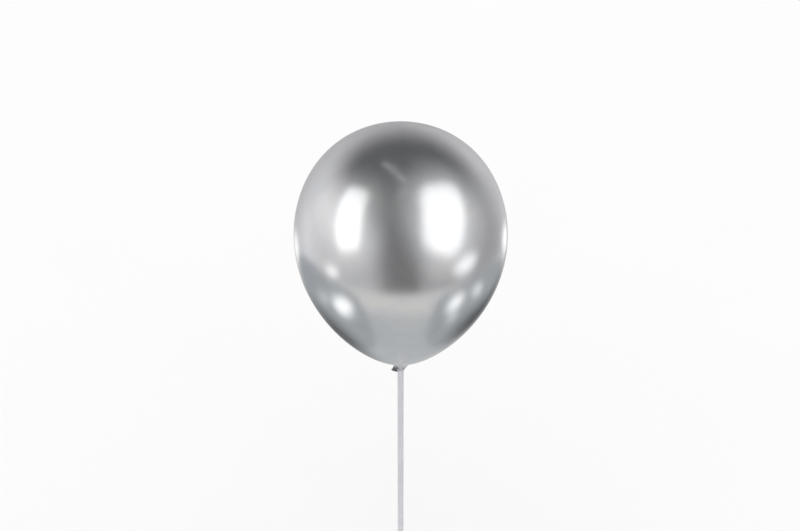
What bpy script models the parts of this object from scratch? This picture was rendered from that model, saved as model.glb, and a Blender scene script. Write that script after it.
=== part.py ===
"""A chrome latex balloon on its clear cup and hollow stick.

Metres, +Z up. The origin is the centre of the stick's foot, which a hand or a stand holds.
The cup's stem plugs into the stick. The balloon's underside rests on the cup's rim. Its gathered
neck leaves the cup through a keyhole between two petals, and the knot outside locks it there.
"""

import math

import bmesh
import bpy
from mathutils import Matrix, Vector

# Gap left wherever two pieces touch
SEAT_GAP = 0.0003

# Stick
STICK_LENGTH = 0.330
STICK_RADIUS = 0.00375
STICK_WALL = 0.0007

# Cup: a hollow stem inside the stick, and a funnel of petals that widens from the stick's top
CUP_WALL = 0.0012
STEM_DEPTH = 0.011
STEM_BORE_RADIUS = 0.0018
STEM_TIP_CHAMFER = 0.0004
FUNNEL_HEIGHT = 0.0200
FUNNEL_FLOOR_RADIUS = 0.0046
RIM_RADIUS = 0.0168
PETALS = 5
KEYHOLE_RADIUS = 0.0031
KEYHOLE_RISE = 0.0045
SLIT_WIDTH = 0.0016
NOTCH_WIDTH = 0.0074
NOTCH_DEPTH = 0.0050
CUTTER_OVER_RIM = 0.0040

# Balloon: the inflated latex. Its side is two curves that meet at the widest ring. The crown's
# handle lies level at the top, the shoulder's upright at the widest ring, and the underside's
# along the slope at the cup's rim. The slope is measured from upright.
BALLOON_RADIUS = 0.120
CROWN_RISE = 0.128
CROWN_HANDLE = 0.0816
SHOULDER_HANDLE = 0.0630
BELLY_DROP = 0.1704
UNDERSIDE_HANDLE = 0.0240
UNDERSIDE_SLOPE = math.radians(70.0)
LATEX_WALL = 0.0010
THROAT_RADIUS = 0.0062
THROAT_FILLET = 0.0080
THROAT_LENGTH = 0.0025

# Neck, knot and tail: gathered latex on one side of the cup
TAIL_AZIMUTH = math.radians(98.0)
NECK_PLUG_RADIUS = 0.0047
NECK_PLUG_DEPTH = 0.0015
NECK_PINCH_RADIUS = 0.0022
NECK_BEND_SHARE = 0.8
NECK_SWELL_POWER = 2
KNOT_LOOP_RADIUS = 0.0027
KNOT_LOOP_DEPTH = 0.0015
KNOT_STRAND_RADIUS = 0.0017
KNOT_TWIST = math.radians(20.0)
TAIL_LENGTH = 0.0180
TAIL_EXIT_ANGLE = math.radians(62.0)
TAIL_HANG_ANGLE = math.radians(86.0)
TAIL_STANDOFF = 0.0040
TAIL_ROOT_RADIUS = 0.0017
TAIL_MOUTH_RADIUS = 0.0080
TAIL_FLATNESS = 0.42
TAIL_FLARE_POWER = 0.8
TAIL_FLATTENING_POWER = 0.5
TAIL_WALL = 0.0006
LIP_BEAD_RADIUS = 0.0010

# How finely round shapes are cut
BALLOON_SEGMENTS = 48
CROWN_STEPS = 12
FLANK_STEPS = 13
FILLET_STEPS = 4
CUP_SEGMENTS = 60
KEYHOLE_STEPS = 16
FLARE_STEPS = 5
STICK_SEGMENTS = 24
NECK_STEPS = 12
KNOT_STEPS = 72
KNOT_VOXEL = 0.00045
TAIL_ROWS = 8
TAIL_SEGMENTS = 28

# What follows from the sizes above. The funnel's outside has one slope from the rim to the stick.
FUNNEL_SLOPE = math.atan2(RIM_RADIUS - FUNNEL_FLOOR_RADIUS, FUNNEL_HEIGHT)
FUNNEL_WALL_ACROSS = CUP_WALL / math.cos(FUNNEL_SLOPE)
FLOOR_THICKNESS = (FUNNEL_FLOOR_RADIUS + FUNNEL_WALL_ACROSS - STICK_RADIUS) / math.tan(FUNNEL_SLOPE)
SHOULDER_Z = STICK_LENGTH + SEAT_GAP
FUNNEL_FLOOR_Z = SHOULDER_Z + FLOOR_THICKNESS
RIM_Z = FUNNEL_FLOOR_Z + FUNNEL_HEIGHT
KEYHOLE_Z = FUNNEL_FLOOR_Z + KEYHOLE_RISE
SEAT_Z = RIM_Z + SEAT_GAP / math.sin(UNDERSIDE_SLOPE)
WIDEST_Z = SEAT_Z + BELLY_DROP

# Colours: base colour, roughness, metallic
CHROME_LATEX = ("chrome_latex", (0.78, 0.79, 0.80), 0.20, 1.0)
GATHERED_LATEX = ("gathered_latex", (0.34, 0.35, 0.36), 0.35, 1.0)
CLEAR_PLASTIC = ("clear_plastic", (0.80, 0.81, 0.83), 0.15, 0.0)
MILKY_PLASTIC = ("milky_plastic", (0.86, 0.86, 0.88), 0.30, 0.0)


def clear_scene():
    for obj in list(bpy.data.objects):
        bpy.data.objects.remove(obj, do_unlink=True)


def new_collection(name):
    collection = bpy.data.collections.new(name)
    bpy.context.scene.collection.children.link(collection)
    return collection


def material(spec):
    """The named material, made on first use."""
    name, colour, roughness, metallic = spec
    found = bpy.data.materials.get(name)
    if found:
        return found
    made = bpy.data.materials.new(name)
    made.use_nodes = True
    shader = made.node_tree.nodes["Principled BSDF"]
    shader.inputs["Base Color"].default_value = (*colour, 1.0)
    shader.inputs["Roughness"].default_value = roughness
    shader.inputs["Metallic"].default_value = metallic
    return made


def add_object(name, data, spec, collection):
    obj = bpy.data.objects.new(name, data)
    collection.objects.link(obj)
    if spec:
        data.materials.append(material(spec))
    return obj


def outline_mesh(name, outline, cyclic):
    """A chain of edges in the XZ plane, from (radius, height) points, for a Screw modifier."""
    mesh = bpy.data.meshes.new(name)
    count = len(outline)
    last = count if cyclic else count - 1
    edges = [(i, (i + 1) % count) for i in range(last)]
    mesh.from_pydata([(radius, 0, height) for radius, height in outline], edges, [])
    return mesh


def turn(obj, segments):
    screw = obj.modifiers.new("turned", "SCREW")
    screw.steps = screw.render_steps = segments
    screw.use_merge_vertices = True
    screw.merge_threshold = 0.00001
    screw.use_smooth_shade = True
    return screw


def arc(centre, radius, start, end, steps):
    """Points (radius, height) round an arc's centre, both ends included. Angles run from +radius."""
    turns = [start + (end - start) * i / steps for i in range(steps + 1)]
    return [(centre[0] + radius * math.cos(t), centre[1] + radius * math.sin(t)) for t in turns]


def bezier(p0, p1, p2, p3, t):
    """The point at share t of a cubic curve."""
    s = 1 - t
    return p0 * s**3 + p1 * (3 * s * s * t) + p2 * (3 * s * t * t) + p3 * t**3


def balloon_outline():
    """The balloon's outer side from crown to throat, as (radius, height)."""
    top = Vector((0, WIDEST_Z + CROWN_RISE))
    widest = Vector((BALLOON_RADIUS, WIDEST_Z))
    seat = Vector((RIM_RADIUS, SEAT_Z))
    crown_bend = top + Vector((CROWN_HANDLE, 0))
    shoulder_bend = widest + Vector((0, SHOULDER_HANDLE))
    slope = Vector((math.sin(UNDERSIDE_SLOPE), math.cos(UNDERSIDE_SLOPE)))
    underside_bend = seat + slope * UNDERSIDE_HANDLE
    # The handle below the widest ring has the length at which both curves bend alike there
    bend_ratio = (BALLOON_RADIUS - underside_bend.x) / (BALLOON_RADIUS - crown_bend.x)
    flank_bend = widest - Vector((0, SHOULDER_HANDLE * math.sqrt(bend_ratio)))
    crown = [bezier(top, crown_bend, shoulder_bend, widest, i / CROWN_STEPS) for i in range(CROWN_STEPS)]
    flank = [bezier(widest, flank_bend, underside_bend, seat, i / FLANK_STEPS) for i in range(FLANK_STEPS)]
    fillet_head_radius = THROAT_RADIUS + THROAT_FILLET * (1 - math.cos(UNDERSIDE_SLOPE))
    fillet_head_z = SEAT_Z - (RIM_RADIUS - fillet_head_radius) / math.tan(UNDERSIDE_SLOPE)
    fillet_foot_z = fillet_head_z - THROAT_FILLET * math.sin(UNDERSIDE_SLOPE)
    fillet_centre = (THROAT_RADIUS + THROAT_FILLET, fillet_foot_z)
    fillet = arc(fillet_centre, THROAT_FILLET, math.pi - UNDERSIDE_SLOPE, math.pi, FILLET_STEPS)
    throat_end = (THROAT_RADIUS, fillet_foot_z - THROAT_LENGTH)
    return [tuple(point) for point in crown + flank + [seat]] + fillet + [throat_end]


def make_envelope(parts):
    """The inflated skin: a turned shell, open at its throat."""
    outline = balloon_outline()
    envelope = add_object("envelope", outline_mesh("envelope", outline, False), CHROME_LATEX, parts)
    turn(envelope, BALLOON_SEGMENTS)
    skin = envelope.modifiers.new("latex", "SOLIDIFY")
    skin.thickness = LATEX_WALL
    skin.offset = -1
    return outline[-1][1]


def make_stick(parts):
    """A straight tube from the foot to the cup's stop."""
    bore = STICK_RADIUS - STICK_WALL
    outline = [(STICK_RADIUS, STICK_LENGTH), (STICK_RADIUS, 0), (bore, 0), (bore, STICK_LENGTH)]
    stick = add_object("stick", outline_mesh("stick", outline, True), MILKY_PLASTIC, parts)
    turn(stick, STICK_SEGMENTS)


def petal_notch_cutter(index, cutters):
    """The opening between two petals: a keyhole, a slit above it, and a notch that rounds the tips."""
    slit = SLIT_WIDTH / 2
    notch = NOTCH_WIDTH / 2
    meet = math.asin(slit / KEYHOLE_RADIUS)
    hole = arc((0, KEYHOLE_Z), KEYHOLE_RADIUS, math.pi / 2 - meet, -1.5 * math.pi + meet, KEYHOLE_STEPS)
    flare = []
    for i in range(FLARE_STEPS + 1):
        turn_angle = math.pi / 2 * i / FLARE_STEPS
        across = slit + (notch - slit) * (1 - math.cos(turn_angle))
        flare.append((across, RIM_Z - NOTCH_DEPTH * (1 - math.sin(turn_angle))))
    flare.append((notch, RIM_Z + CUTTER_OVER_RIM))
    outline = hole + [(-x, z) for x, z in flare] + flare[::-1]
    curve = bpy.data.curves.new(f"petal_notch_{index}", "CURVE")
    curve.dimensions = "2D"
    curve.fill_mode = "BOTH"
    reach = RIM_RADIUS + CUTTER_OVER_RIM
    curve.extrude = reach / 2
    spline = curve.splines.new("POLY")
    spline.points.add(len(outline) - 1)
    for point, (x, z) in zip(spline.points, outline):
        point.co = (x, z, 0, 1)
    spline.use_cyclic_u = True
    flat = add_object(curve.name, curve, None, cutters)
    azimuth = TAIL_AZIMUTH + 2 * math.pi * index / PETALS
    start = FUNNEL_FLOOR_RADIUS
    flat.rotation_euler = (math.pi / 2, 0, azimuth + math.pi / 2)
    flat.location = Vector((math.cos(azimuth), math.sin(azimuth), 0)) * (start + reach / 2)
    return as_mesh(flat, cutters)


def as_mesh(curve_object, collection):
    """The curve object as a welded mesh object of the same name and place."""
    bpy.context.view_layer.update()
    graph = bpy.context.evaluated_depsgraph_get()
    mesh = bpy.data.meshes.new_from_object(curve_object.evaluated_get(graph))
    welded = bmesh.new()
    welded.from_mesh(mesh)
    bmesh.ops.remove_doubles(welded, verts=welded.verts, dist=0.000001)
    bmesh.ops.recalc_face_normals(welded, faces=welded.faces)
    welded.to_mesh(mesh)
    welded.free()
    name = curve_object.name
    place = curve_object.matrix_world.copy()
    bpy.data.objects.remove(curve_object, do_unlink=True)
    obj = add_object(name, mesh, None, collection)
    obj.matrix_world = place
    return obj


def make_cup(parts, cutters):
    """The funnel of petals, its shoulder on the stick's end and its stem inside the stick."""
    stem = STICK_RADIUS - STICK_WALL - SEAT_GAP
    tip_z = SHOULDER_Z - STEM_DEPTH
    outline = [
        (RIM_RADIUS, RIM_Z),
        (RIM_RADIUS + FUNNEL_WALL_ACROSS, RIM_Z),
        (STICK_RADIUS, SHOULDER_Z),
        (stem, SHOULDER_Z),
        (stem, tip_z + STEM_TIP_CHAMFER),
        (stem - STEM_TIP_CHAMFER, tip_z),
        (STEM_BORE_RADIUS, tip_z),
        (STEM_BORE_RADIUS, FUNNEL_FLOOR_Z),
        (FUNNEL_FLOOR_RADIUS, FUNNEL_FLOOR_Z),
    ]
    cup = add_object("cup", outline_mesh("cup", outline, True), CLEAR_PLASTIC, parts)
    turn(cup, CUP_SEGMENTS)
    for index in range(PETALS):
        cutter = petal_notch_cutter(index, cutters)
        cutter.hide_render = True
        cutter.display_type = "WIRE"
        cut = cup.modifiers.new(cutter.name, "BOOLEAN")
        cut.operation = "DIFFERENCE"
        cut.object = cutter


def tube(name, points, collection, cyclic=False):
    """A round tube through (x, y, z, radius) points."""
    curve = bpy.data.curves.new(name, "CURVE")
    curve.dimensions = "3D"
    curve.bevel_depth = 1.0
    curve.bevel_resolution = 3
    curve.use_fill_caps = True
    spline = curve.splines.new("POLY")
    spline.points.add(len(points) - 1)
    for point, (x, y, z, radius) in zip(spline.points, points):
        point.co = (x, y, z, 1)
        point.radius = radius
    spline.use_cyclic_u = cyclic
    return add_object(name, curve, None, collection)


def wall_exit():
    """Where the neck leaves the keyhole on the tail's side, and the wall's outward normal there."""
    across = FUNNEL_FLOOR_RADIUS + KEYHOLE_RISE * math.tan(FUNNEL_SLOPE)
    drop = FUNNEL_WALL_ACROSS / 2 * math.tan(FUNNEL_SLOPE)
    point = Vector((across + FUNNEL_WALL_ACROSS, 0, KEYHOLE_Z - drop))
    return point, Vector((math.cos(FUNNEL_SLOPE), 0, -math.sin(FUNNEL_SLOPE)))


def make_neck(parts, side, throat_z):
    """The gathered neck: it plugs the throat, turns outwards and passes the keyhole."""
    top = Vector((0, 0, throat_z + NECK_PLUG_DEPTH))
    end, outward = wall_exit()
    reach = (top.z - end.z) * NECK_BEND_SHARE
    bend_high = top - Vector((0, 0, reach))
    bend_low = end - outward * reach
    points = []
    for i in range(NECK_STEPS + 1):
        t = i / NECK_STEPS
        place = bezier(top, bend_high, bend_low, end, t)
        swell = (1 - t) ** NECK_SWELL_POWER
        radius = NECK_PINCH_RADIUS + (NECK_PLUG_RADIUS - NECK_PINCH_RADIUS) * swell
        points.append((*place, radius))
    neck = as_mesh(tube("neck", points, parts), parts)
    neck.data.materials.append(material(GATHERED_LATEX))
    neck.data.shade_smooth()
    neck.parent = side


def make_knot(parts, side):
    """An overhand knot pulled tight: a trefoil of one strand, its turns fused where they press."""
    points = []
    for i in range(KNOT_STEPS):
        t = 2 * math.pi * i / KNOT_STEPS
        across = KNOT_LOOP_RADIUS * (2 + math.cos(3 * t)) / 3
        x = KNOT_LOOP_DEPTH * math.sin(3 * t)
        points.append((x, across * math.cos(2 * t), across * math.sin(2 * t), KNOT_STRAND_RADIUS))
    knot = as_mesh(tube("knot", points, parts, cyclic=True), parts)
    knot.data.materials.append(material(GATHERED_LATEX))
    fuse = knot.modifiers.new("fused", "REMESH")
    fuse.mode = "VOXEL"
    fuse.voxel_size = KNOT_VOXEL
    fuse.use_smooth_shade = True
    wall, outward = wall_exit()
    knot.parent = side
    knot.location = wall + outward * (SEAT_GAP + KNOT_LOOP_DEPTH + KNOT_STRAND_RADIUS)
    knot.rotation_euler = (KNOT_TWIST, FUNNEL_SLOPE, 0)
    return knot.location.copy()


def tail_path(knot_centre):
    """The tail's centre line as (point, angle below level), bending down as it leaves the knot."""
    step = TAIL_LENGTH / TAIL_ROWS
    first = Vector((math.cos(TAIL_EXIT_ANGLE), 0, -math.sin(TAIL_EXIT_ANGLE)))
    place = knot_centre + first * TAIL_STANDOFF
    path = [(place.copy(), TAIL_EXIT_ANGLE)]
    for row in range(TAIL_ROWS):
        share = (row + 1) / TAIL_ROWS
        angle = TAIL_EXIT_ANGLE + (TAIL_HANG_ANGLE - TAIL_EXIT_ANGLE) * share
        place = place + Vector((math.cos(angle), 0, -math.sin(angle))) * step
        path.append((place.copy(), angle))
    return path


def tail_half_sizes(share):
    """Half thickness and half width at a share of the tail: round at the knot, flat at its mouth."""
    width = TAIL_ROOT_RADIUS + (TAIL_MOUTH_RADIUS - TAIL_ROOT_RADIUS) * share**TAIL_FLARE_POWER
    return width * (1 - (1 - TAIL_FLATNESS) * share**TAIL_FLATTENING_POWER), width


def make_tail(parts, side, knot_centre):
    """The flattened mouthpiece that hangs from the knot, and its rolled lip."""
    path = tail_path(knot_centre)
    skirt = bmesh.new()
    for row, (place, angle) in enumerate(path):
        thick, width = tail_half_sizes(row / (len(path) - 1))
        made = bmesh.ops.create_circle(skirt, segments=TAIL_SEGMENTS, radius=1)
        bmesh.ops.scale(skirt, vec=(thick, width, 1), verts=made["verts"])
        turned = Matrix.Rotation(angle - math.pi / 2, 4, "Y")
        bmesh.ops.transform(skirt, matrix=Matrix.Translation(place) @ turned, verts=made["verts"])
    bmesh.ops.bridge_loops(skirt, edges=list(skirt.edges))
    bmesh.ops.recalc_face_normals(skirt, faces=skirt.faces)
    mesh = bpy.data.meshes.new("tail")
    skirt.to_mesh(mesh)
    skirt.free()
    mesh.shade_smooth()
    tail = add_object("tail", mesh, GATHERED_LATEX, parts)
    latex = tail.modifiers.new("latex", "SOLIDIFY")
    latex.thickness = TAIL_WALL
    latex.offset = -1
    tail.parent = side

    place, angle = path[-1]
    thick, width = tail_half_sizes(1)
    onward = Vector((math.cos(angle), 0, -math.sin(angle)))
    lip_points = []
    for i in range(TAIL_SEGMENTS):
        t = 2 * math.pi * i / TAIL_SEGMENTS
        lip_points.append((thick * math.cos(t), width * math.sin(t), 0, LIP_BEAD_RADIUS))
    lip = as_mesh(tube("tail_lip", lip_points, parts, cyclic=True), parts)
    lip.data.materials.append(material(GATHERED_LATEX))
    lip.data.shade_smooth()
    lip.parent = side
    lip.location = place + onward * (LIP_BEAD_RADIUS + SEAT_GAP)
    lip.rotation_euler = (0, angle - math.pi / 2, 0)


def main():
    clear_scene()
    parts = new_collection("chrome_balloon_on_stick")
    cutters = new_collection("cutters")
    side = bpy.data.objects.new("tail_side", None)
    side.rotation_euler = (0, 0, TAIL_AZIMUTH)
    parts.objects.link(side)
    bpy.context.view_layer.update()

    make_stick(parts)
    make_cup(parts, cutters)
    throat_z = make_envelope(parts)
    make_neck(parts, side, throat_z)
    knot_centre = make_knot(parts, side)
    make_tail(parts, side, knot_centre)


main()
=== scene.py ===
"""Looks of the chrome balloon on its clear cup and hollow stick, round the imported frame.

Metres, +Z up. The photographed side faces -Y, and the stick's foot is at the origin.
"""

import math

import bmesh
import bpy
from mathutils import Matrix, Vector, noise


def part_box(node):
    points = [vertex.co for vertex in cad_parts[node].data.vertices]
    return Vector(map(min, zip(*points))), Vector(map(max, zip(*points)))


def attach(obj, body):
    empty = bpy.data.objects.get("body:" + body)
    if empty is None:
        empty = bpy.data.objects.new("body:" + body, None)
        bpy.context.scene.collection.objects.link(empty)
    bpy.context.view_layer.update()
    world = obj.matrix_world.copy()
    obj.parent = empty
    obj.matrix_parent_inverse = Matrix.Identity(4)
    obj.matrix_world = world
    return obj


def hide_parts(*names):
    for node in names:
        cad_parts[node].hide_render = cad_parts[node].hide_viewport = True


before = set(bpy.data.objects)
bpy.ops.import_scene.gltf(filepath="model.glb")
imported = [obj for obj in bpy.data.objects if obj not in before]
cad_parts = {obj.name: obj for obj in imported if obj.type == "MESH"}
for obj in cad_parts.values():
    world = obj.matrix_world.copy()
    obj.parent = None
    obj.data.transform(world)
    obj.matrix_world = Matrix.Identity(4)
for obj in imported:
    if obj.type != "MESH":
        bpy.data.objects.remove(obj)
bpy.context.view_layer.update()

# The photograph: its size, the balloon's centre and radius in it and the focal length, in pixels
PHOTO_SIZE = (800, 531)
BALLOON_CENTRE_PX = (400.7, 236.2)
BALLOON_RADIUS_PX = 106.8
FOCAL_PX = 1175.0
CAMERA_PITCH = math.radians(35.0)
SENSOR_WIDTH_MM = 36.0

# The balloon, from its solid, and the numbers that shape its outline
ENVELOPE_LOW, ENVELOPE_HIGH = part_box("envelope")
BALLOON_RADIUS = (ENVELOPE_HIGH.x - ENVELOPE_LOW.x) / 2
CROWN_RISE = 0.128
CROWN_HANDLE = 0.0816
SHOULDER_HANDLE = 0.0630
BELLY_DROP = 0.1704
UNDERSIDE_HANDLE = 0.0240
UNDERSIDE_SLOPE = math.radians(70.0)
THROAT_RADIUS = 0.0062
THROAT_FILLET = 0.0080
THROAT_LENGTH = 0.0025
WIDEST_Z = ENVELOPE_HIGH.z - CROWN_RISE
SKIN_THICKNESS = 0.0003

# The cup and stick, from their solids
CUP_LOW, CUP_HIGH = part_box("cup")
STICK_LOW, STICK_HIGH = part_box("stick")
STICK_RADIUS = (STICK_HIGH.x - STICK_LOW.x) / 2
STICK_WALL = 0.0007
SEAT_GAP = 0.0003
CUP_WALL = 0.0012
STEM_BORE_RADIUS = 0.0018
STEM_TIP_CHAMFER = 0.0004
FUNNEL_HEIGHT = 0.0200
FUNNEL_FLOOR_RADIUS = 0.0046
RIM_RADIUS = 0.0168
PETALS = 5
KEYHOLE_RADIUS = 0.0031
KEYHOLE_RISE = 0.0045
SLIT_WIDTH = 0.0016
NOTCH_WIDTH = 0.0074
NOTCH_DEPTH = 0.0050
RIM_Z = CUP_HIGH.z
FUNNEL_FLOOR_Z = RIM_Z - FUNNEL_HEIGHT
SHOULDER_Z = STICK_HIGH.z + SEAT_GAP
KEYHOLE_Z = FUNNEL_FLOOR_Z + KEYHOLE_RISE
FUNNEL_SLOPE = math.atan2(RIM_RADIUS - FUNNEL_FLOOR_RADIUS, FUNNEL_HEIGHT)
FUNNEL_WALL_ACROSS = CUP_WALL / math.cos(FUNNEL_SLOPE)

# Rounded edges: how wide on moulded and on cut plastic, and the angle above which an edge is one
MOULDED_EDGE = 0.00018
CUT_EDGE = 0.00012
SHARP_ANGLE = math.radians(28.0)

# The gathered latex on one side of the cup: the neck, the knot, the tail and its rolled lip
TAIL_AZIMUTH = math.radians(98.0)
NECK_PINCH_RADIUS = 0.0022
NECK_BEND_SHARE = 0.8
KNOT_LOOP_RADIUS = 0.0027
KNOT_LOOP_DEPTH = 0.0015
KNOT_STRAND_RADIUS = 0.0017
KNOT_TWIST = math.radians(20.0)
TAIL_LENGTH = 0.0180
TAIL_EXIT_ANGLE = math.radians(62.0)
TAIL_HANG_ANGLE = math.radians(86.0)
TAIL_STANDOFF = 0.0040
TAIL_ROOT_RADIUS = 0.0017
TAIL_MOUTH_RADIUS = 0.0080
TAIL_FLATNESS = 0.42
LIP_BEAD_RADIUS = 0.0010
# How far the neck and tail go on into the knot, and the share of their width that they keep there
KNOT_LAP = [(0.0008, 0.95), (0.0016, 0.88), (0.0024, 0.78)]

SIDE = Matrix.Rotation(TAIL_AZIMUTH, 4, "Z")

# How bright the soft light round the balloon is, and the backdrop that the camera sees
SOFT_LIGHT = 1.09
BACKDROP = 0.80

# Kinds of soft spot in the mirrored studio, as glow takes them
LAMP = {"rounding": 5.0, "edge": (1.12, 0.78)}
HALO = {"rounding": 2.5, "edge": (1.0, 0.0)}
SPOT = {"rounding": 2.0, "edge": (1.2, 0.3)}
DISC = {"rounding": 2.0, "edge": (1.03, 0.95)}


def smoothstep(low, high, x):
    """0 up to low and 1 from high on, with a smooth step between them. low may be the larger."""
    t = min(max((x - low) / (high - low), 0.0), 1.0)
    return t * t * (3 - 2 * t)


def arc(centre, radius, start, end, steps):
    """Points (radius, height) round an arc's centre, both ends included."""
    turns = [start + (end - start) * i / steps for i in range(steps + 1)]
    return [(centre[0] + radius * math.cos(t), centre[1] + radius * math.sin(t)) for t in turns]


def bezier(p0, p1, p2, p3, t):
    """The point at share t of a cubic curve."""
    s = 1 - t
    return p0 * s**3 + p1 * (3 * s * s * t) + p2 * (3 * s * t * t) + p3 * t**3


def ring_mesh(name, rings, loop=False, capped=False):
    """A mesh through rings of equal point counts. A ring of one point is a pole."""
    mesh = bmesh.new()
    rows = [[mesh.verts.new(p) for p in ring] for ring in rings]
    pairs = list(zip(rows, rows[1:]))
    if loop:
        pairs.append((rows[-1], rows[0]))
    for a, b in pairs:
        count = max(len(a), len(b))
        for i in range(count):
            j = (i + 1) % count
            corners = [a[i % len(a)], a[j % len(a)], b[j % len(b)], b[i % len(b)]]
            mesh.faces.new(list(dict.fromkeys(corners)))
    if capped:
        mesh.faces.new(list(reversed(rows[0])))
        mesh.faces.new(rows[-1])
    bmesh.ops.recalc_face_normals(mesh, faces=mesh.faces)
    data = bpy.data.meshes.new(name)
    mesh.to_mesh(data)
    mesh.free()
    data.shade_smooth()
    return data


def add_piece(name, data, material, slot, *nodes):
    """A piece of the balloon that rides on the frame and stands for its solids."""
    piece = bpy.data.objects.new(name, data)
    bpy.context.scene.collection.objects.link(piece)
    piece.data.materials.append(material)
    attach(piece, "root")
    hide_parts(*nodes)
    return piece


def thicken(piece, thickness):
    """Gives a skin its thickness, inwards from its outer side."""
    skin = piece.modifiers.new("thickness", "SOLIDIFY")
    skin.thickness = thickness
    skin.offset = -1


def soften(piece, width):
    """Rounds a piece's sharp edges."""
    bevel = piece.modifiers.new("softened", "BEVEL")
    bevel.width = width
    bevel.segments = 2
    bevel.limit_method = "ANGLE"
    bevel.angle_limit = SHARP_ANGLE
    bevel.harden_normals = True


class Shader:
    """A short way to add and join a tree's nodes."""

    def __init__(self, tree):
        self.tree = tree

    def node(self, kind, inputs=(), **settings):
        """A new node with its settings, and its inputs joined or set."""
        made = self.tree.nodes.new(kind)
        for name, value in settings.items():
            setattr(made, name, value)
        for name, value in dict(inputs).items():
            self.put(value, made.inputs[name])
        return made

    def put(self, value, socket):
        """Joins another node's output to a socket, or sets the socket's own value."""
        if isinstance(value, bpy.types.NodeSocket):
            self.tree.links.new(value, socket)
        else:
            socket.default_value = value

    def math(self, operation, a, b=0.0):
        made = self.node("ShaderNodeMath", {0: a, 1: b}, operation=operation)
        return made.outputs[0]

    def span(self, value, low, high, to_low=0.0, to_high=1.0, smooth=True):
        """value's place between low and high, moved to the range to_low to to_high."""
        made = self.node(
            "ShaderNodeMapRange",
            {"Value": value, "From Min": low, "From Max": high, "To Min": to_low, "To Max": to_high},
            interpolation_type="SMOOTHSTEP" if smooth else "LINEAR",
        )
        return made.outputs[0]

    def noise(self, place, scale, detail=2.0, roughness=0.5):
        made = self.node(
            "ShaderNodeTexNoise",
            {"Vector": place, "Scale": scale, "Detail": detail, "Roughness": roughness},
        )
        return made.outputs["Fac"]

    def dot(self, place, axis):
        made = self.node("ShaderNodeVectorMath", {0: place, 1: axis}, operation="DOT_PRODUCT")
        return made.outputs["Value"]

    def mix(self, share, a, b, blend_type):
        made = self.node("ShaderNodeMixRGB", {"Fac": share, 1: a, 2: b}, blend_type=blend_type)
        return made.outputs["Color"]

    def blend(self, share, a, b):
        """a where share is 0 and b where it is 1."""
        return self.mix(share, a, b, "MIX")

    def add(self, a, b):
        return self.mix(1.0, a, b, "ADD")

    def bump(self, height, distance, normal=None):
        """A surface raised by distance where height is 1, on top of another bump's normal."""
        made = self.node("ShaderNodeBump", {"Height": height, "Distance": distance})
        if normal:
            self.put(normal, made.inputs["Normal"])
        return made.outputs["Normal"]


def new_material(name):
    """An empty material, with its Shader and its Principled BSDF."""
    material = bpy.data.materials.new(name)
    material.use_nodes = True
    shader = Shader(material.node_tree)
    return material, shader, material.node_tree.nodes["Principled BSDF"]


def grey(level, tint=(1.0, 1.0, 1.0)):
    """A grey of a linear level, with a faint tint of red, green and blue."""
    return tuple(level * t for t in tint) + (1.0,)


def chrome_latex():
    """Mirror-bright stretched latex, duller and darker where it isn't stretched."""
    material, s, surface = new_material("chrome_latex")
    place = s.node("ShaderNodeTexCoord").outputs["Object"]
    height = s.node("ShaderNodeSeparateXYZ", {0: place}).outputs["Z"]
    cloud = s.noise(place, scale=28.0, detail=3.0)
    # Heights over the throat's end below which the latex starts to dull and is fully dull
    dull_starts, dull_ends = 0.034, 0.002
    dull = s.span(height, ENVELOPE_LOW.z + dull_starts, ENVELOPE_LOW.z + dull_ends)
    stretched = s.blend(s.span(cloud, 0.35, 0.65), grey(0.79, (0.99, 1.0, 1.02)), grey(0.83))
    surface.inputs["Metallic"].default_value = 1.0
    s.put(s.blend(dull, stretched, grey(0.50, (0.98, 1.0, 1.03))), surface.inputs["Base Color"])
    patches = s.noise(place, scale=70.0, detail=3.0)
    rough = s.span(patches, 0.3, 0.7, to_low=0.19, to_high=0.22)
    rougher_when_dull = s.math("MULTIPLY", dull, 0.17)
    s.put(s.math("ADD", rough, rougher_when_dull), surface.inputs["Roughness"])
    peel = s.bump(s.noise(place, scale=230.0, detail=1.0), distance=0.000012)
    grain = s.bump(s.noise(place, scale=2600.0), distance=0.0000035, normal=peel)
    s.put(grain, surface.inputs["Normal"])
    return material


def gathered_latex():
    """The same latex unstretched: satin, with fine wrinkles."""
    material, s, surface = new_material("gathered_latex")
    place = s.node("ShaderNodeTexCoord").outputs["Object"]
    cloud = s.noise(place, scale=350.0, detail=4.0, roughness=0.6)
    tone = s.blend(s.span(cloud, 0.3, 0.7), grey(0.18, (0.98, 1.0, 1.03)), grey(0.26))
    s.put(tone, surface.inputs["Base Color"])
    surface.inputs["Metallic"].default_value = 1.0
    s.put(s.span(cloud, 0.3, 0.7, to_low=0.40, to_high=0.30), surface.inputs["Roughness"])
    wrinkles = s.noise(place, scale=1100.0, detail=3.0, roughness=0.6)
    s.put(s.bump(wrinkles, distance=0.00006), surface.inputs["Normal"])
    return material


def clear_plastic():
    """The cup's moulded plastic: clear but slightly milky, with flow marks."""
    material, s, surface = new_material("clear_plastic")
    place = s.node("ShaderNodeTexCoord").outputs["Object"]
    flow = s.noise(place, scale=160.0, detail=3.0)
    s.put(s.blend(flow, grey(0.80, (0.99, 0.99, 1.02)), grey(0.90)), surface.inputs["Base Color"])
    s.put(s.span(flow, 0.3, 0.7, to_low=0.10, to_high=0.20), surface.inputs["Roughness"])
    surface.inputs["IOR"].default_value = 1.49
    surface.inputs["Transmission Weight"].default_value = 0.75
    s.put(s.bump(s.noise(place, scale=420.0), distance=0.00002), surface.inputs["Normal"])
    return material


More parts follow.
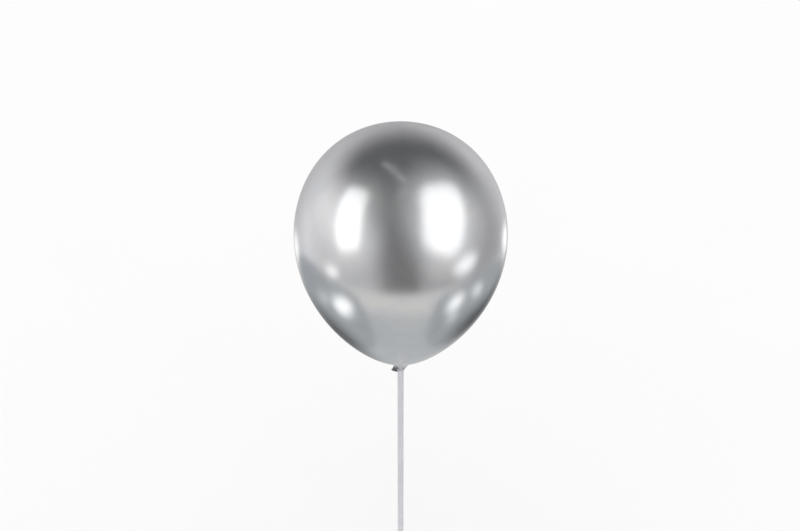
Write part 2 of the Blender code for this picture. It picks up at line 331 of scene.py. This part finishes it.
def milky_plastic():
    """The stick's extruded plastic: milky, with drawn lines along its length."""
    material, s, surface = new_material("milky_plastic")
    place = s.node("ShaderNodeTexCoord").outputs["Object"]
    drawn = s.node("ShaderNodeMapping", {"Vector": place, "Scale": (1.0, 1.0, 0.02)}).outputs[0]
    line = s.noise(drawn, scale=1500.0, detail=3.0)
    cloud = s.noise(place, scale=45.0)
    cool = (0.99, 0.99, 1.03)
    tone = s.blend(s.span(cloud, 0.3, 0.7), grey(0.80, cool), grey(0.87, cool))
    s.put(tone, surface.inputs["Base Color"])
    s.put(s.span(line, 0.3, 0.7, to_low=0.28, to_high=0.38), surface.inputs["Roughness"])
    surface.inputs["IOR"].default_value = 1.49
    surface.inputs["Transmission Weight"].default_value = 0.35
    s.put(s.bump(line, distance=0.00002), surface.inputs["Normal"])
    return material


def balloon_outline(crown_steps=60, flank_steps=64, fillet_steps=12):
    """The balloon's outer side from crown to throat, as (radius, height)."""
    top = Vector((0, WIDEST_Z + CROWN_RISE))
    widest = Vector((BALLOON_RADIUS, WIDEST_Z))
    seat = Vector((RIM_RADIUS, WIDEST_Z - BELLY_DROP))
    crown_bend = top + Vector((CROWN_HANDLE, 0))
    shoulder_bend = widest + Vector((0, SHOULDER_HANDLE))
    slope = Vector((math.sin(UNDERSIDE_SLOPE), math.cos(UNDERSIDE_SLOPE)))
    underside_bend = seat + slope * UNDERSIDE_HANDLE
    # The handle below the widest ring has the length at which both curves bend alike there
    bend_ratio = (BALLOON_RADIUS - underside_bend.x) / (BALLOON_RADIUS - crown_bend.x)
    flank_bend = widest - Vector((0, SHOULDER_HANDLE * math.sqrt(bend_ratio)))
    crown = [bezier(top, crown_bend, shoulder_bend, widest, i / crown_steps)
             for i in range(crown_steps)]
    flank = [bezier(widest, flank_bend, underside_bend, seat, i / flank_steps)
             for i in range(flank_steps)]
    fillet_head_radius = THROAT_RADIUS + THROAT_FILLET * (1 - math.cos(UNDERSIDE_SLOPE))
    fillet_head_z = seat.y - (RIM_RADIUS - fillet_head_radius) / math.tan(UNDERSIDE_SLOPE)
    fillet_foot_z = fillet_head_z - THROAT_FILLET * math.sin(UNDERSIDE_SLOPE)
    fillet_centre = (THROAT_RADIUS + THROAT_FILLET, fillet_foot_z)
    fillet = arc(fillet_centre, THROAT_FILLET, math.pi - UNDERSIDE_SLOPE, math.pi, fillet_steps)
    throat_end = (THROAT_RADIUS, fillet_foot_z - THROAT_LENGTH)
    return [tuple(point) for point in crown + flank + [seat]] + fillet + [throat_end]


def make_envelope(material):
    """The skin: the solid's outline, gathered into folds towards its throat."""
    segments = 180
    folds = 13
    fold_depth = 0.00055
    fold_reach = 0.030
    # How far the skin stands in unevenly, its lumps to a metre, and the radii where that sets in
    sway = 0.00012
    lumps = 9.0
    even_radius, uneven_radius = 0.02, 0.08
    rings = []
    for radius, z in balloon_outline():
        if radius == 0:
            rings.append([Vector((0, 0, z))])
            continue
        gather = smoothstep(fold_reach, THROAT_RADIUS, radius) ** 2 if z < WIDEST_Z else 0.0
        ring = []
        for i in range(segments):
            turn = 2 * math.pi * i / segments
            wander = 0.35 * math.sin(2 * turn + 1.1) + 0.25 * math.sin(3 * turn)
            fold = 0.5 - 0.5 * math.cos(folds * turn + 3 * wander)
            unit = Vector((math.cos(turn), math.sin(turn), 0))
            place = unit * radius + Vector((0, 0, z))
            uneven = smoothstep(even_radius, uneven_radius, radius)
            drift = sway * (noise.noise(place * lumps) - 1) * uneven
            ring.append(place + unit * (drift - fold_depth * gather * fold**2))
        rings.append(ring)
    piece = add_piece("envelope_skin", ring_mesh("envelope_skin", rings), material,
                      "chrome_latex", "envelope")
    thicken(piece, SKIN_THICKNESS)


def wall_exit():
    """Where the neck leaves the keyhole on the tail's side, and the wall's outward normal there."""
    across = FUNNEL_FLOOR_RADIUS + KEYHOLE_RISE * math.tan(FUNNEL_SLOPE)
    drop = FUNNEL_WALL_ACROSS / 2 * math.tan(FUNNEL_SLOPE)
    point = Vector((across + FUNNEL_WALL_ACROSS, 0, KEYHOLE_Z - drop))
    return point, Vector((math.cos(FUNNEL_SLOPE), 0, -math.sin(FUNNEL_SLOPE)))


def pleat(turn, count, sharpness=0.7):
    """A gathered edge: 0 on the crests, 1 in the creases."""
    return 1 - abs(math.sin(count * turn / 2)) ** sharpness


def into_knot(ring, centre, inward):
    """More rings, which take the neck or the tail on into the knot."""
    return [[centre + inward * depth + (point - centre) * width for point in ring]
            for depth, width in KNOT_LAP]


def make_neck(material):
    """The gathered neck: pleats twisted together, from the throat through the keyhole."""
    segments = 96
    steps = 60
    pleats = 9
    twist = math.radians(150.0)
    throat_lap = 0.0010
    throat_fill_radius = 0.0055
    shallow_pleat, pleat_growth = 0.10, 0.16
    nearby = 0.01
    top = Vector((0, 0, ENVELOPE_LOW.z + throat_lap))
    end, outward = wall_exit()
    reach = (top.z - end.z) * NECK_BEND_SHARE
    bend_high = top - Vector((0, 0, reach))
    bend_low = end - outward * reach
    rings = []
    for step in range(steps + 1):
        t = step / steps
        place = bezier(top, bend_high, bend_low, end, t)
        ahead = bezier(top, bend_high, bend_low, end, min(t + nearby, 1.0))
        behind = bezier(top, bend_high, bend_low, end, max(t - nearby, 0.0))
        along = (ahead - behind).normalized()
        level = Vector((0, 1, 0))
        across = level.cross(along).normalized()
        swell = (1 - t) ** 2
        radius = NECK_PINCH_RADIUS + (throat_fill_radius - NECK_PINCH_RADIUS) * swell
        depth = shallow_pleat + pleat_growth * smoothstep(0.0, 0.5, t)
        ring = []
        for i in range(segments):
            turn = 2 * math.pi * i / segments
            crease = pleat(turn + twist * t, pleats)
            r = radius * (1 - depth * crease)
            ring.append(place + (across * math.cos(turn) + level * math.sin(turn)) * r)
        rings.append(ring)
    rings += into_knot(rings[-1], end, outward)
    data = ring_mesh("neck_gathers", rings, capped=True)
    data.transform(SIDE)
    add_piece("neck_gathers", data, material, "gathered_latex", "neck")


def trefoil(t):
    """A point on the knot's strand, its axis along +X."""
    across = KNOT_LOOP_RADIUS * (2 + math.cos(3 * t)) / 3
    return Vector((
        KNOT_LOOP_DEPTH * math.sin(3 * t),
        across * math.cos(2 * t),
        across * math.sin(2 * t),
    ))


def make_knot(material):
    """An overhand knot pulled tight, its strand creased along its length. Gives its centre."""
    steps = 240
    segments = 40
    creases = 7
    crest, crease_depth = 1.02, 0.13
    nearby = 0.01
    fusing_voxel = 0.00013
    rings = []
    for step in range(steps):
        t = 2 * math.pi * step / steps
        along = (trefoil(t + nearby) - trefoil(t - nearby)).normalized()
        out = trefoil(t).normalized()
        side = along.cross(out).normalized()
        out = side.cross(along)
        ring = []
        for i in range(segments):
            turn = 2 * math.pi * i / segments
            r = KNOT_STRAND_RADIUS * (crest - crease_depth * pleat(turn + 2 * t, creases))
            ring.append(trefoil(t) + (out * math.cos(turn) + side * math.sin(turn)) * r)
        rings.append(ring)
    data = ring_mesh("knot_folds", rings, loop=True)
    wall, outward = wall_exit()
    centre = wall + outward * (SEAT_GAP + KNOT_LOOP_DEPTH + KNOT_STRAND_RADIUS)
    turned = Matrix.Rotation(FUNNEL_SLOPE, 4, "Y") @ Matrix.Rotation(KNOT_TWIST, 4, "X")
    data.transform(SIDE @ Matrix.Translation(centre) @ turned)
    piece = add_piece("knot_folds", data, material, "gathered_latex", "knot")
    fuse = piece.modifiers.new("fused", "REMESH")
    fuse.mode = "VOXEL"
    fuse.voxel_size = fusing_voxel
    fuse.use_smooth_shade = True
    return centre


def tail_half_sizes(share):
    """Half thickness and half width at a share of the tail: round at the knot, flat at its mouth."""
    widening, flattening = 0.8, 0.5
    width = TAIL_ROOT_RADIUS + (TAIL_MOUTH_RADIUS - TAIL_ROOT_RADIUS) * share**widening
    return width * (1 - (1 - TAIL_FLATNESS) * share**flattening), width


def tail_wave(turn, share):
    """How far the tail's side stands in from its plain outline, as a share of its radius."""
    fine_pleats, fine_depth = 9, 0.22
    broad_waves, broad_depth = 3, 0.16
    fine = pleat(turn + 0.4 * math.sin(turn), fine_pleats) * fine_depth * (1 - share) ** 1.2
    wave = 0.5 - 0.5 * math.cos(broad_waves * turn + 0.9)
    return fine + wave * broad_depth * smoothstep(0.15, 0.9, share)


def tail_rings(knot_centre, rows=60, segments=120):
    """The tail's rings from inside the knot to its mouth, the mouth's centre and its direction."""
    step = TAIL_LENGTH / rows
    first = Vector((math.cos(TAIL_EXIT_ANGLE), 0, -math.sin(TAIL_EXIT_ANGLE)))
    root = knot_centre + first * TAIL_STANDOFF
    place = root
    level = Vector((0, 1, 0))
    rings = []
    for row in range(rows + 1):
        share = row / rows
        angle = TAIL_EXIT_ANGLE + (TAIL_HANG_ANGLE - TAIL_EXIT_ANGLE) * share
        onward = Vector((math.cos(angle), 0, -math.sin(angle)))
        if row:
            place = place + onward * step
        across = level.cross(onward)
        thick, width = tail_half_sizes(share)
        ring = []
        for i in range(segments):
            turn = 2 * math.pi * i / segments
            keep = 1 - tail_wave(turn, share)
            offset = across * thick * math.cos(turn) * keep + level * width * math.sin(turn) * keep
            ring.append(place + offset)
        rings.append(ring)
    return into_knot(rings[0], root, -first)[::-1] + rings, place, onward


def make_tail(material, knot_centre):
    """The flattened mouthpiece that hangs from the knot, and its rolled lip."""
    rings, mouth_centre, onward = tail_rings(knot_centre)
    data = ring_mesh("tail_skirt", rings)
    data.transform(SIDE)
    skirt = add_piece("tail_skirt", data, material, "gathered_latex", "tail")
    thicken(skirt, SKIN_THICKNESS)
    make_tail_bead(material, rings[-1], mouth_centre, onward)


def make_tail_bead(material, mouth, mouth_centre, onward):
    """The rolled bead, which laps the tail's mouth."""
    segments = 20
    creases = 3
    crease_depth = 0.10
    centre = mouth_centre + onward * (LIP_BEAD_RADIUS - SKIN_THICKNESS)
    rings = []
    for point in mouth:
        spot = point - mouth_centre
        out = spot.normalized()
        ring = []
        for i in range(segments):
            turn = 2 * math.pi * i / segments
            roll = LIP_BEAD_RADIUS * (1 - crease_depth * pleat(turn, creases))
            ring.append(centre + spot + (out * math.cos(turn) + onward * math.sin(turn)) * roll)
        rings.append(ring)
    data = ring_mesh("tail_bead", rings, loop=True)
    data.transform(SIDE)
    add_piece("tail_bead", data, material, "gathered_latex", "tail_lip")


def turned_mesh(name, outline, segments):
    """A closed (radius, height) outline turned round the Z axis."""
    rings = []
    for i in range(segments):
        turn = 2 * math.pi * i / segments
        rings.append([Vector((r * math.cos(turn), r * math.sin(turn), z)) for r, z in outline])
    return ring_mesh(name, rings, loop=True)


def notch_mesh(index):
    """What the opening between two petals takes away: a keyhole, its slit and the petals' corners."""
    slit = SLIT_WIDTH / 2
    notch = NOTCH_WIDTH / 2
    over_rim = 0.004
    hole_steps = 40
    flare_steps = 14
    meet = math.asin(slit / KEYHOLE_RADIUS)
    hole = arc((0, KEYHOLE_Z), KEYHOLE_RADIUS, math.pi / 2 - meet, -1.5 * math.pi + meet, hole_steps)
    flare = []
    for i in range(flare_steps + 1):
        turn = math.pi / 2 * i / flare_steps
        across = slit + (notch - slit) * (1 - math.cos(turn))
        flare.append((across, RIM_Z - NOTCH_DEPTH * (1 - math.sin(turn))))
    flare.append((notch, RIM_Z + over_rim))
    outline = hole + [(-x, z) for x, z in flare] + flare[::-1]
    azimuth = TAIL_AZIMUTH + 2 * math.pi * index / PETALS
    out = Vector((math.cos(azimuth), math.sin(azimuth), 0))
    side = Vector((-math.sin(azimuth), math.cos(azimuth), 0))
    near, far = FUNNEL_FLOOR_RADIUS, FUNNEL_FLOOR_RADIUS + RIM_RADIUS + over_rim
    ends = [[out * d + side * x + Vector((0, 0, z)) for x, z in outline] for d in (near, far)]
    return ring_mesh(f"notch_{index}", ends, capped=True)


def cut_petals(cup):
    """Cuts the keyholes, slits and notches that part the cup's wall into petals."""
    cutters = []
    for index in range(PETALS):
        cutter = bpy.data.objects.new(f"notch_{index}", notch_mesh(index))
        bpy.context.scene.collection.objects.link(cutter)
        cutters.append(cutter)
        cut = cup.modifiers.new(cutter.name, "BOOLEAN")
        cut.operation = "DIFFERENCE"
        cut.object = cutter
    bpy.context.view_layer.update()
    graph = bpy.context.evaluated_depsgraph_get()
    mesh = bpy.data.meshes.new_from_object(cup.evaluated_get(graph))
    cup.modifiers.clear()
    cup.data = mesh
    for cutter in cutters:
        bpy.data.objects.remove(cutter)


def make_cup(material):
    """The moulded cup: a funnel of petals and a stem inside the stick, its edges softened."""
    segments = 180
    stem = STICK_RADIUS - STICK_WALL - SEAT_GAP
    outline = [
        (RIM_RADIUS, RIM_Z),
        (RIM_RADIUS + FUNNEL_WALL_ACROSS, RIM_Z),
        (STICK_RADIUS, SHOULDER_Z),
        (stem, SHOULDER_Z),
        (stem, CUP_LOW.z + STEM_TIP_CHAMFER),
        (stem - STEM_TIP_CHAMFER, CUP_LOW.z),
        (STEM_BORE_RADIUS, CUP_LOW.z),
        (STEM_BORE_RADIUS, FUNNEL_FLOOR_Z),
        (FUNNEL_FLOOR_RADIUS, FUNNEL_FLOOR_Z),
    ]
    cup = add_piece("cup_moulding", turned_mesh("cup_moulding", outline, segments), material,
                    "clear_plastic", "cup")
    cut_petals(cup)
    soften(cup, MOULDED_EDGE)


def make_stick(material):
    """The hollow stick, its ends cut square and slightly worn."""
    segments = 72
    bore = STICK_RADIUS - STICK_WALL
    top, foot = STICK_HIGH.z, STICK_LOW.z
    outline = [(STICK_RADIUS, top), (STICK_RADIUS, foot), (bore, foot), (bore, top)]
    stick = add_piece("stick_tube", turned_mesh("stick_tube", outline, segments), material,
                      "milky_plastic", "stick")
    soften(stick, CUT_EDGE)


def make_floor():
    """A wide pale floor at the stick's foot, near white there, with painted shade that darkens it to
    the backdrop's paleness far off.

    The balloon mirrors the studio's own floor instead.
    """
    half_width = 30.0
    # Painted shade: between these distances the floor's colour darkens from near white to the
    # backdrop's tone, a falloff of light painted in
    painted_falloff_starts, painted_falloff_ends = 2.4, 5.5
    material, s, surface = new_material("pale_floor_painted_falloff")
    place = s.node("ShaderNodeTexCoord").outputs["Object"]
    mottle = s.noise(place, scale=3.0, detail=3.0)
    away = s.node("ShaderNodeVectorMath", {0: place}, operation="LENGTH").outputs["Value"]
    near = s.blend(mottle, grey(0.895), grey(0.91))
    # The far tone is painted shade, as pale as the backdrop under the soft light
    far = grey(BACKDROP / SOFT_LIGHT)
    s.put(s.blend(s.span(away, painted_falloff_starts, painted_falloff_ends), near, far), surface.inputs["Base Color"])
    surface.inputs["Roughness"].default_value = 0.9
    surface.inputs["Specular IOR Level"].default_value = 0.0
    data = bpy.data.meshes.new("floor")
    corners = [(half_width * x, half_width * y, 0) for x, y in ((-1, -1), (1, -1), (1, 1), (-1, 1))]
    data.from_pydata(corners, [], [(0, 1, 2, 3)])
    floor = bpy.data.objects.new("floor", data)
    data.materials.append(material)
    bpy.context.scene.collection.objects.link(floor)
    floor.visible_glossy = False


def towards(azimuth, elevation):
    """A direction from the balloon. Azimuth 0 is towards the camera and 90 towards +X, in degrees."""
    a, e = math.radians(azimuth), math.radians(elevation)
    return Vector((math.sin(a) * math.cos(e), -math.cos(a) * math.cos(e), math.sin(e)))


def glow(s, direction, place, half_sizes, rounding, edge):
    """How much of a lamp, spot or disc shows in a direction: 0 outside its edge and 1 inside it.

    place is its azimuth, elevation and lean, and half_sizes its half width and height, in degrees.
    rounding goes from 2, an ellipse, towards a rectangle. edge gives the shares of the half sizes
    at which it starts to show and is whole.
    """
    azimuth, elevation, lean = place
    ahead = towards(azimuth, elevation)
    level = towards(azimuth + 90, 0)
    turned = Matrix.Rotation(-math.radians(lean), 4, ahead)
    depth = s.dot(direction, ahead)
    reach = 0.0
    for axis, half in zip((turned @ level, turned @ level.cross(ahead)), half_sizes):
        angle = s.math("ABSOLUTE", s.math("ARCTAN2", s.dot(direction, axis), depth))
        share = s.math("DIVIDE", angle, math.radians(half))
        reach = s.math("ADD", reach, s.math("POWER", share, rounding))
    return s.span(s.math("POWER", reach, 1 / rounding), *edge)


def wall_tones(s, azimuth):
    """The studio's walls: dark behind the camera, paler to the sides and palest on the left."""
    tones = [
        (-180, 0.46), (-150, 0.57), (-110, 0.82), (-75, 0.55), (-30, 0.52), (-12, 0.21),
        (12, 0.16), (30, 0.34), (75, 0.35), (110, 0.40), (150, 0.65), (180, 0.46),
    ]
    ramp = s.node("ShaderNodeValToRGB", {"Fac": s.span(azimuth, -180.0, 180.0, smooth=False)})
    stops = ramp.color_ramp.elements
    while len(stops) < len(tones):
        stops.new(0.5)
    for stop, (degrees, tone) in zip(stops, tones):
        stop.position = (degrees + 180) / 360
        stop.color = grey(tone, (0.995, 0.99, 1.01))
    return ramp.outputs["Color"]


def room_tones(s, direction):
    """The tone of the studio's walls, dark ceiling or pale floor in a direction, in degrees."""
    split = s.node("ShaderNodeSeparateXYZ", {0: direction})
    to_camera = s.math("MULTIPLY", split.outputs["Y"], -1.0)
    azimuth = s.math("DEGREES", s.math("ARCTAN2", split.outputs["X"], to_camera))
    elevation = s.math("DEGREES", s.math("ARCSINE", split.outputs["Z"]))

    # The walls darken towards the ceiling from a foot that is highest on the left
    highest_foot_azimuth, foot_mean, foot_swing = -105.0, 2.0, 5.5
    darkening = 43.0
    turn = s.math("RADIANS", s.math("SUBTRACT", azimuth, highest_foot_azimuth))
    foot = s.math("ADD", foot_mean, s.math("MULTIPLY", s.math("COSINE", turn), foot_swing))
    above = s.math("SUBTRACT", elevation, foot)
    ahead, behind = grey(0.165, (0.98, 1.0, 1.02)), grey(0.125, (0.97, 0.99, 1.03))
    ceiling = s.blend(s.span(s.math("ABSOLUTE", azimuth), 40.0, 150.0), ahead, behind)
    upper = s.blend(s.span(above, 0.0, darkening), wall_tones(s, azimuth), ceiling)

    # The floor is pale and warmer far off, darker and cooler below the balloon
    floor_starts, floor_whole = -27.0, -35.0
    shade_starts, shade_whole = -42.0, -60.0
    pale = grey(0.68, (1.01, 1.0, 0.985))
    shaded = grey(0.525, (0.97, 1.0, 1.025))
    lower = s.blend(s.span(elevation, shade_starts, shade_whole), pale, shaded)
    return s.blend(s.span(elevation, floor_starts, floor_whole), upper, lower)


def with_bunch(s, direction, tones):
    """The bunch that the balloon stood in: a dim disc on each side, with darker ends behind."""
    bunch = [
        (0.40, (-100, -52.5, 0), (37.5, 24.5), DISC),
        (0.40, (96, -53, 0), (38.5, 23.5), DISC),
        (0.10, (-151, -53, 35), (30, 15), HALO),
        (0.08, (140, -51, -35), (33, 15), HALO),
    ]
    for tone, place, half_sizes, kind in bunch:
        share = glow(s, direction, place, half_sizes, **kind)
        tones = s.blend(share, tones, grey(tone, (0.95, 1.0, 1.04)))
    return tones


def with_lights(s, direction, tones):
    """The studio's two lamps with their halos, its ceiling strip, and the lamps in the bunch."""
    left_lamp = (-66, 25, -25)
    right_lamp = (57.5, 30.5, 33)
    ceiling_strip = (-147, 81.3, 1.3)
    strip_end = (3, 69.5, 28)
    lights = [
        (0.78, left_lamp, (16, 30), LAMP),
        (0.38, left_lamp, (55, 60), HALO),
        (0.65, right_lamp, (26, 35.5), LAMP),
        (0.60, right_lamp, (66, 78), HALO),
        (0.27, ceiling_strip, (2.6, 17.5), LAMP),
        (0.14, strip_end, (2, 10), LAMP),
        # The lamps once more, small, in the bunch
        (1.10, (-76, -49.5, -22), (14, 8), SPOT),
        (0.25, (-105, -46, -10), (12, 4), SPOT),
        (0.75, (-74, -24.5, -17), (10, 5), SPOT),
        (0.60, (-146, -32, -10), (11, 4), SPOT),
        (0.90, (68.5, -18, 0), (16, 8.5), SPOT),
        (0.90, (67, -46, 10), (9, 9), SPOT),
        (0.30, (78, -57, 40), (9, 5), SPOT),
        (0.55, (95, -41, 20), (10, 4.5), SPOT),
        (0.75, (143, -29.5, 14), (12, 4.5), SPOT),
    ]
    for radiance, place, half_sizes, kind in lights:
        share = glow(s, direction, place, half_sizes, **kind)
        tones = s.add(tones, s.math("MULTIPLY", share, radiance))
    return tones


def make_world():
    """Plain soft light and backdrop, and what the balloon mirrors: a dim studio and two lamps."""
    world = bpy.data.worlds.new("studio")
    bpy.context.scene.world = world
    world.use_nodes = True
    world.cycles.sampling_method = "NONE"
    world.node_tree.nodes.clear()
    s = Shader(world.node_tree)
    direction = s.node("ShaderNodeTexCoord").outputs["Generated"]
    room = room_tones(s, direction)
    tones = with_lights(s, direction, with_bunch(s, direction, room))
    ray = s.node("ShaderNodeLightPath").outputs
    mirrored = s.math("SUBTRACT", ray["Is Glossy Ray"], ray["Is Transmission Ray"])
    plain = s.blend(ray["Is Diffuse Ray"], grey(BACKDROP), grey(SOFT_LIGHT))
    seen = s.node("ShaderNodeBackground", {"Color": plain}).outputs[0]
    studio = s.node("ShaderNodeBackground", {"Color": tones}).outputs[0]
    both = s.node("ShaderNodeMixShader", {0: mirrored, 1: seen, 2: studio}).outputs[0]
    s.node("ShaderNodeOutputWorld", {"Surface": both})


def make_camera():
    """The photograph's view: the balloon's centre lies at its pixel, at its size."""
    data = bpy.data.cameras.new("camera")
    data.sensor_width = SENSOR_WIDTH_MM
    data.lens = FOCAL_PX * SENSOR_WIDTH_MM / PHOTO_SIZE[0]
    distance = FOCAL_PX * BALLOON_RADIUS / BALLOON_RADIUS_PX
    right = Vector((1, 0, 0))
    forward = Vector((0, math.cos(CAMERA_PITCH), -math.sin(CAMERA_PITCH)))
    up = Vector((0, math.sin(CAMERA_PITCH), math.cos(CAMERA_PITCH)))
    per_px = distance / FOCAL_PX
    right_px = BALLOON_CENTRE_PX[0] - PHOTO_SIZE[0] / 2
    up_px = PHOTO_SIZE[1] / 2 - BALLOON_CENTRE_PX[1]
    camera = bpy.data.objects.new("camera", data)
    bpy.context.scene.collection.objects.link(camera)
    balloon_centre = Vector((0, 0, WIDEST_Z))
    aside = up * up_px * per_px + right * right_px * per_px
    camera.location = balloon_centre - forward * distance - aside
    camera.rotation_euler = (math.pi / 2 - CAMERA_PITCH, 0, 0)
    bpy.context.scene.camera = camera


def main():
    bpy.context.scene.view_settings.view_transform = "Standard"
    make_camera()
    make_world()
    make_floor()
    latex = gathered_latex()
    make_envelope(chrome_latex())
    make_neck(latex)
    knot_centre = make_knot(latex)
    make_tail(latex, knot_centre)
    make_cup(clear_plastic())
    make_stick(milky_plastic())


main()
